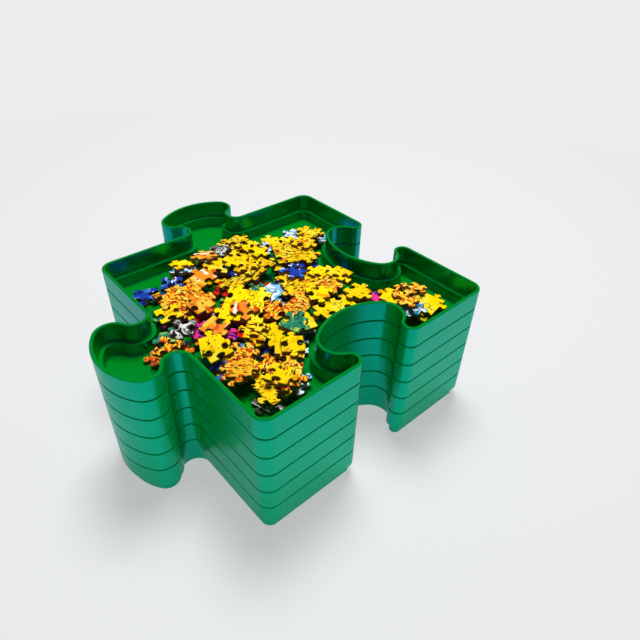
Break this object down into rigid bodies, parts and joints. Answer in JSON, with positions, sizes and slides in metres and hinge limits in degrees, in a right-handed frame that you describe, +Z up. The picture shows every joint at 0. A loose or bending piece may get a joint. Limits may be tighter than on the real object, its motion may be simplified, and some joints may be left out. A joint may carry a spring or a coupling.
{
  "type": "jigsaw puzzle sorting tray stack",
  "caption": "Nested stack of glossy puzzle-sorting trays shaped like jigsaw pieces, with tabs and sockets that lock side by side; the top tray holds a heap of loose printed pieces.",
  "frame": {"origin": "centre of the lowest tray's square body, on its underside", "axes": "+Z up; each tray's tabs point along -X and -Y and its sockets open along +X and +Y"},
  "size_m": [0.196, 0.196, 0.0845],
  "materials": {
    "tray_plastic": "glossy injection-moulded green plastic",
    "black_white_print": "printed paper over brown board, black white",
    "green_print": "printed paper over brown board, green",
    "magenta_print": "printed paper over brown board, magenta",
    "orange_fleck_print": "printed paper over brown board, orange fleck",
    "orange_print": "printed paper over brown board, orange",
    "plain_yellow_print": "printed paper over brown board, plain yellow",
    "red_print": "printed paper over brown board, red",
    "royal_blue_print": "printed paper over brown board, royal blue",
    "sky_swirl_print": "printed paper over brown board, sky swirl",
    "speckled_yellow_print": "printed paper over brown board, speckled yellow"
  },
  "bodies": {
    "tray_1": {"tray_1": "tray_plastic"},
    "tray_2": {"tray_2": "tray_plastic"},
    "tray_3": {"tray_3": "tray_plastic"},
    "tray_4": {"tray_4": "tray_plastic"},
    "tray_5": {"tray_5": "tray_plastic"},
    "tray_6": {"tray_6": "tray_plastic"},
    "loose_pieces": {"black_white_pieces_lowest": "black_white_print", "black_white_pieces_top": "black_white_print", "green_pieces_lowest": "green_print", "green_pieces_middle": "green_print", "green_pieces_top": "green_print", "magenta_pieces_lowest": "magenta_print", "magenta_pieces_middle": "magenta_print", "magenta_pieces_top": "magenta_print", "orange_fleck_pieces_lowest": "orange_fleck_print", "orange_fleck_pieces_middle": "orange_fleck_print", "orange_fleck_pieces_top": "orange_fleck_print", "orange_pieces_lowest": "orange_print", "orange_pieces_middle": "orange_print", "orange_pieces_top": "orange_print", "plain_yellow_pieces_lowest": "plain_yellow_print", "plain_yellow_pieces_middle": "plain_yellow_print", "plain_yellow_pieces_top": "plain_yellow_print", "red_pieces_lowest": "red_print", "red_pieces_middle": "red_print", "royal_blue_pieces_lowest": "royal_blue_print", "royal_blue_pieces_middle": "royal_blue_print", "royal_blue_pieces_top": "royal_blue_print", "sky_swirl_pieces_lowest": "sky_swirl_print", "sky_swirl_pieces_middle": "sky_swirl_print", "sky_swirl_pieces_top": "sky_swirl_print", "speckled_yellow_pieces_lowest": "speckled_yellow_print", "speckled_yellow_pieces_middle": "speckled_yellow_print", "speckled_yellow_pieces_top": "speckled_yellow_print"}
  },
  "joints": [
    {"name": "tray_2_lift", "type": "slide", "parent": "tray_1", "child": "tray_2", "axis": [0, 0, 1], "range_m": [0, 0.06]},
    {"name": "tray_3_lift", "type": "slide", "parent": "tray_2", "child": "tray_3", "axis": [0, 0, 1], "range_m": [0, 0.06]},
    {"name": "tray_4_lift", "type": "slide", "parent": "tray_3", "child": "tray_4", "axis": [0, 0, 1], "range_m": [0, 0.06]},
    {"name": "tray_5_lift", "type": "slide", "parent": "tray_4", "child": "tray_5", "axis": [0, 0, 1], "range_m": [0, 0.06]},
    {"name": "tray_6_lift", "type": "slide", "parent": "tray_5", "child": "tray_6", "axis": [0, 0, 1], "range_m": [0, 0.06]},
    {"name": "loose_pieces_lift", "type": "slide", "parent": "tray_6", "child": "loose_pieces", "axis": [0, 0, 1], "range_m": [0, 0.08]}
  ]
}
